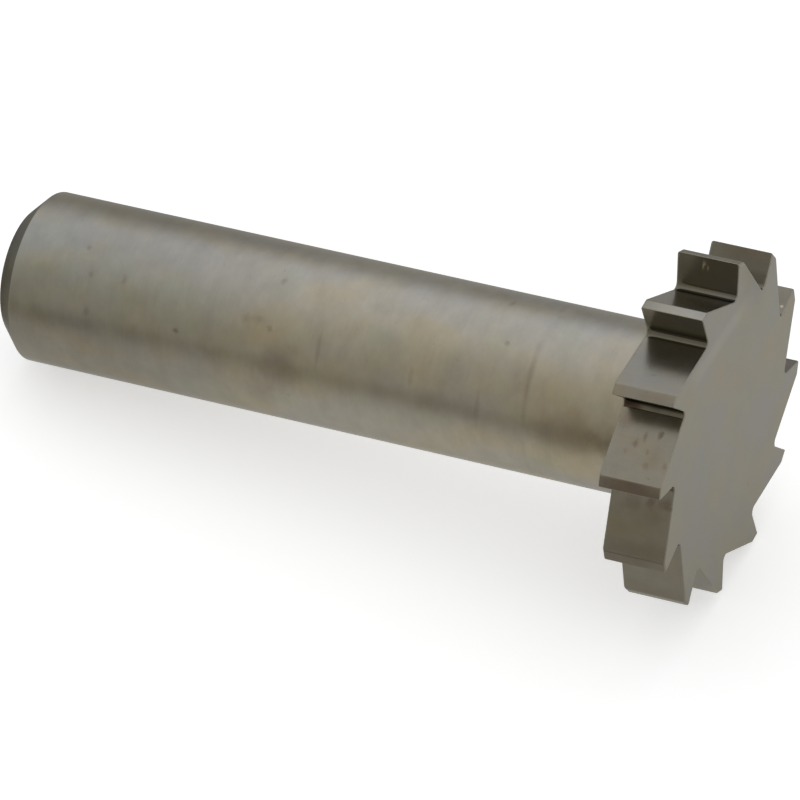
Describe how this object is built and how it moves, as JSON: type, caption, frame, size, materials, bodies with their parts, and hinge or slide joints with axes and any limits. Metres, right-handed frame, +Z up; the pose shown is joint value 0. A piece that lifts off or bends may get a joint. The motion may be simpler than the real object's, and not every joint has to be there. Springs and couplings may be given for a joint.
{
  "type": "woodruff keyseat cutter",
  "caption": "Solid steel milling cutter with a thin straight-toothed disc on a plain round shank, for cutting half-moon key seats in shafts.",
  "frame": {"origin": "on the surface that the cutter lies on, under the middle of its box", "axes": "+X along the tool from the shank's end to the toothed head, +Z up; the tool's own axis rises towards the head by about 7 degrees, because the head is thicker than the shank"},
  "size_m": [0.0576, 0.025, 0.0254],
  "materials": {
    "ground_tool_steel": "ground high-speed steel, satin, with faint grinding rings round the shank, small dark specks and light brown staining"
  },
  "bodies": {
    "root": {"keyseat_cutter": "ground_tool_steel"}
  },
  "joints": []
}
